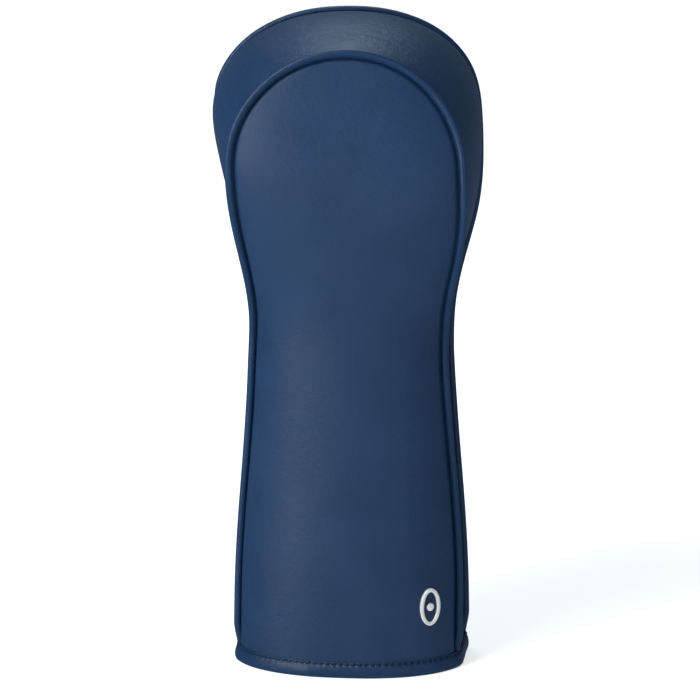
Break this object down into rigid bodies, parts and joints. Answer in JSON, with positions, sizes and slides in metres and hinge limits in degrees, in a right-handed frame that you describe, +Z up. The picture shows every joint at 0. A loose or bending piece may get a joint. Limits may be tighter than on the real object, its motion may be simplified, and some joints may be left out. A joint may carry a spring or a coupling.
{
  "type": "golf driver headcover",
  "caption": "Padded leather headcover for a golf driver: arched front and back panels, a wide gusset, piped seams, an elastic neck, and an open bound hem that it stands on.",
  "frame": {"origin": "middle of the open hem, on the surface that the cover stands on", "axes": "+Z up to the crown, +X across the cover to its left-hand side seen from behind, -Y out of the front panel"},
  "size_m": [0.1332, 0.1045, 0.3248],
  "materials": {
    "leather": "smooth semi-matt navy",
    "piping_leather": "smooth navy, slightly burnished",
    "foam": "grey foam padding",
    "plush": "short black plush pile",
    "cord": "twisted cotton cord",
    "thread": "dark navy bonded thread",
    "elastic": "ribbed woven elastic",
    "casing": "plain woven tape",
    "emblem": "satin silver",
    "washer": "plain steel"
  },
  "bodies": {
    "root": {"front_panel": "leather", "back_panel": "leather", "gusset": "leather", "front_foam": "foam", "back_foam": "foam", "gusset_foam": "foam", "front_lining": "plush", "back_lining": "plush", "gusset_lining": "plush", "front_piping": "piping_leather", "back_piping": "piping_leather", "front_piping_cord": "cord", "back_piping_cord": "cord", "hem_binding": "piping_leather", "hem_stitches": "thread", "neck_elastic": "elastic", "elastic_casing": "casing", "emblem_ring": "emblem", "emblem_dot": "emblem", "emblem_washers": "washer"}
  },
  "joints": []
}
